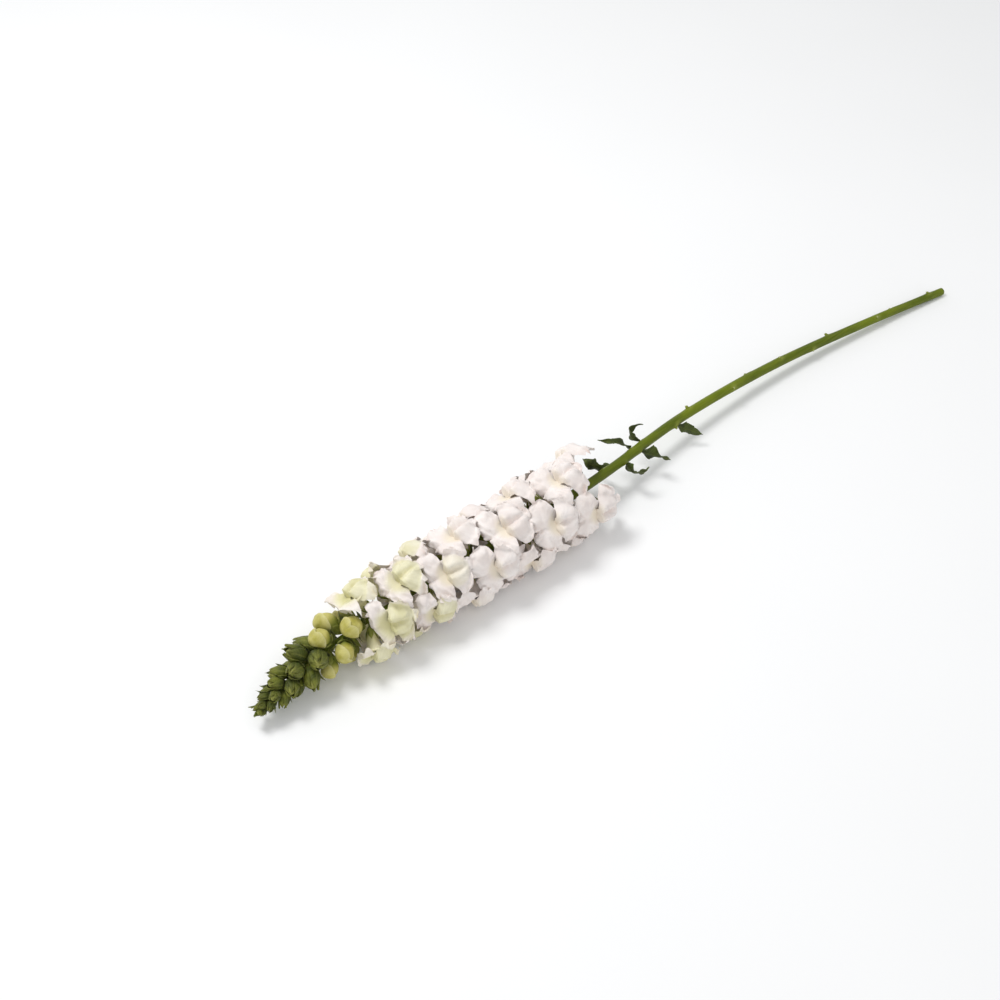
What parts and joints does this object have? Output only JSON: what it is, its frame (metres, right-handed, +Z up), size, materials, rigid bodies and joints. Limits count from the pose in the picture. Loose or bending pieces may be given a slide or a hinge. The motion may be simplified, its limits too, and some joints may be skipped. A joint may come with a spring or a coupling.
{
  "type": "snapdragon stem",
  "caption": "Single cut snapdragon stem lying on its side, with white two-lipped florets, yellow-green buds, a green tip and a few small leaves.",
  "frame": {"origin": "middle of the footprint, on the surface that the stem lies on", "axes": "+X from the tip of the flower spike to the cut end of the stem, +Z up"},
  "size_m": [0.804, 0.0788, 0.0681],
  "materials": {
    "stem": "satin",
    "leaf": "satin",
    "petal": "matt",
    "young_petal": "matt",
    "bud": "satin"
  },
  "bodies": {
    "root": {"stem": "stem", "leaf_01": "leaf", "leaf_02": "leaf", "leaf_03": "leaf", "leaf_04": "leaf", "leaf_05": "leaf", "leaf_06": "leaf", "leaf_07": "leaf", "floret_01": "petal", "floret_02": "petal", "floret_03": "petal", "floret_04": "petal", "floret_05": "petal", "floret_06": "petal", "floret_07": "petal", "floret_08": "petal", "floret_09": "petal", "floret_10": "petal", "floret_11": "petal", "floret_12": "petal", "floret_13": "petal", "floret_14": "petal", "floret_15": "petal", "floret_16": "petal", "floret_17": "petal", "floret_18": "petal", "floret_19": "petal", "floret_20": "petal", "floret_21": "petal", "floret_22": "petal", "floret_23": "young_petal", "floret_24": "young_petal", "floret_25": "young_petal", "floret_26": "young_petal", "floret_27": "young_petal", "floret_28": "young_petal", "floret_29": "young_petal", "floret_30": "young_petal", "floret_31": "young_petal", "bud_01": "bud", "bud_02": "bud", "bud_03": "bud", "bud_04": "bud", "bud_05": "bud", "bud_06": "bud", "bud_07": "bud", "bud_08": "bud"}
  },
  "joints": []
}
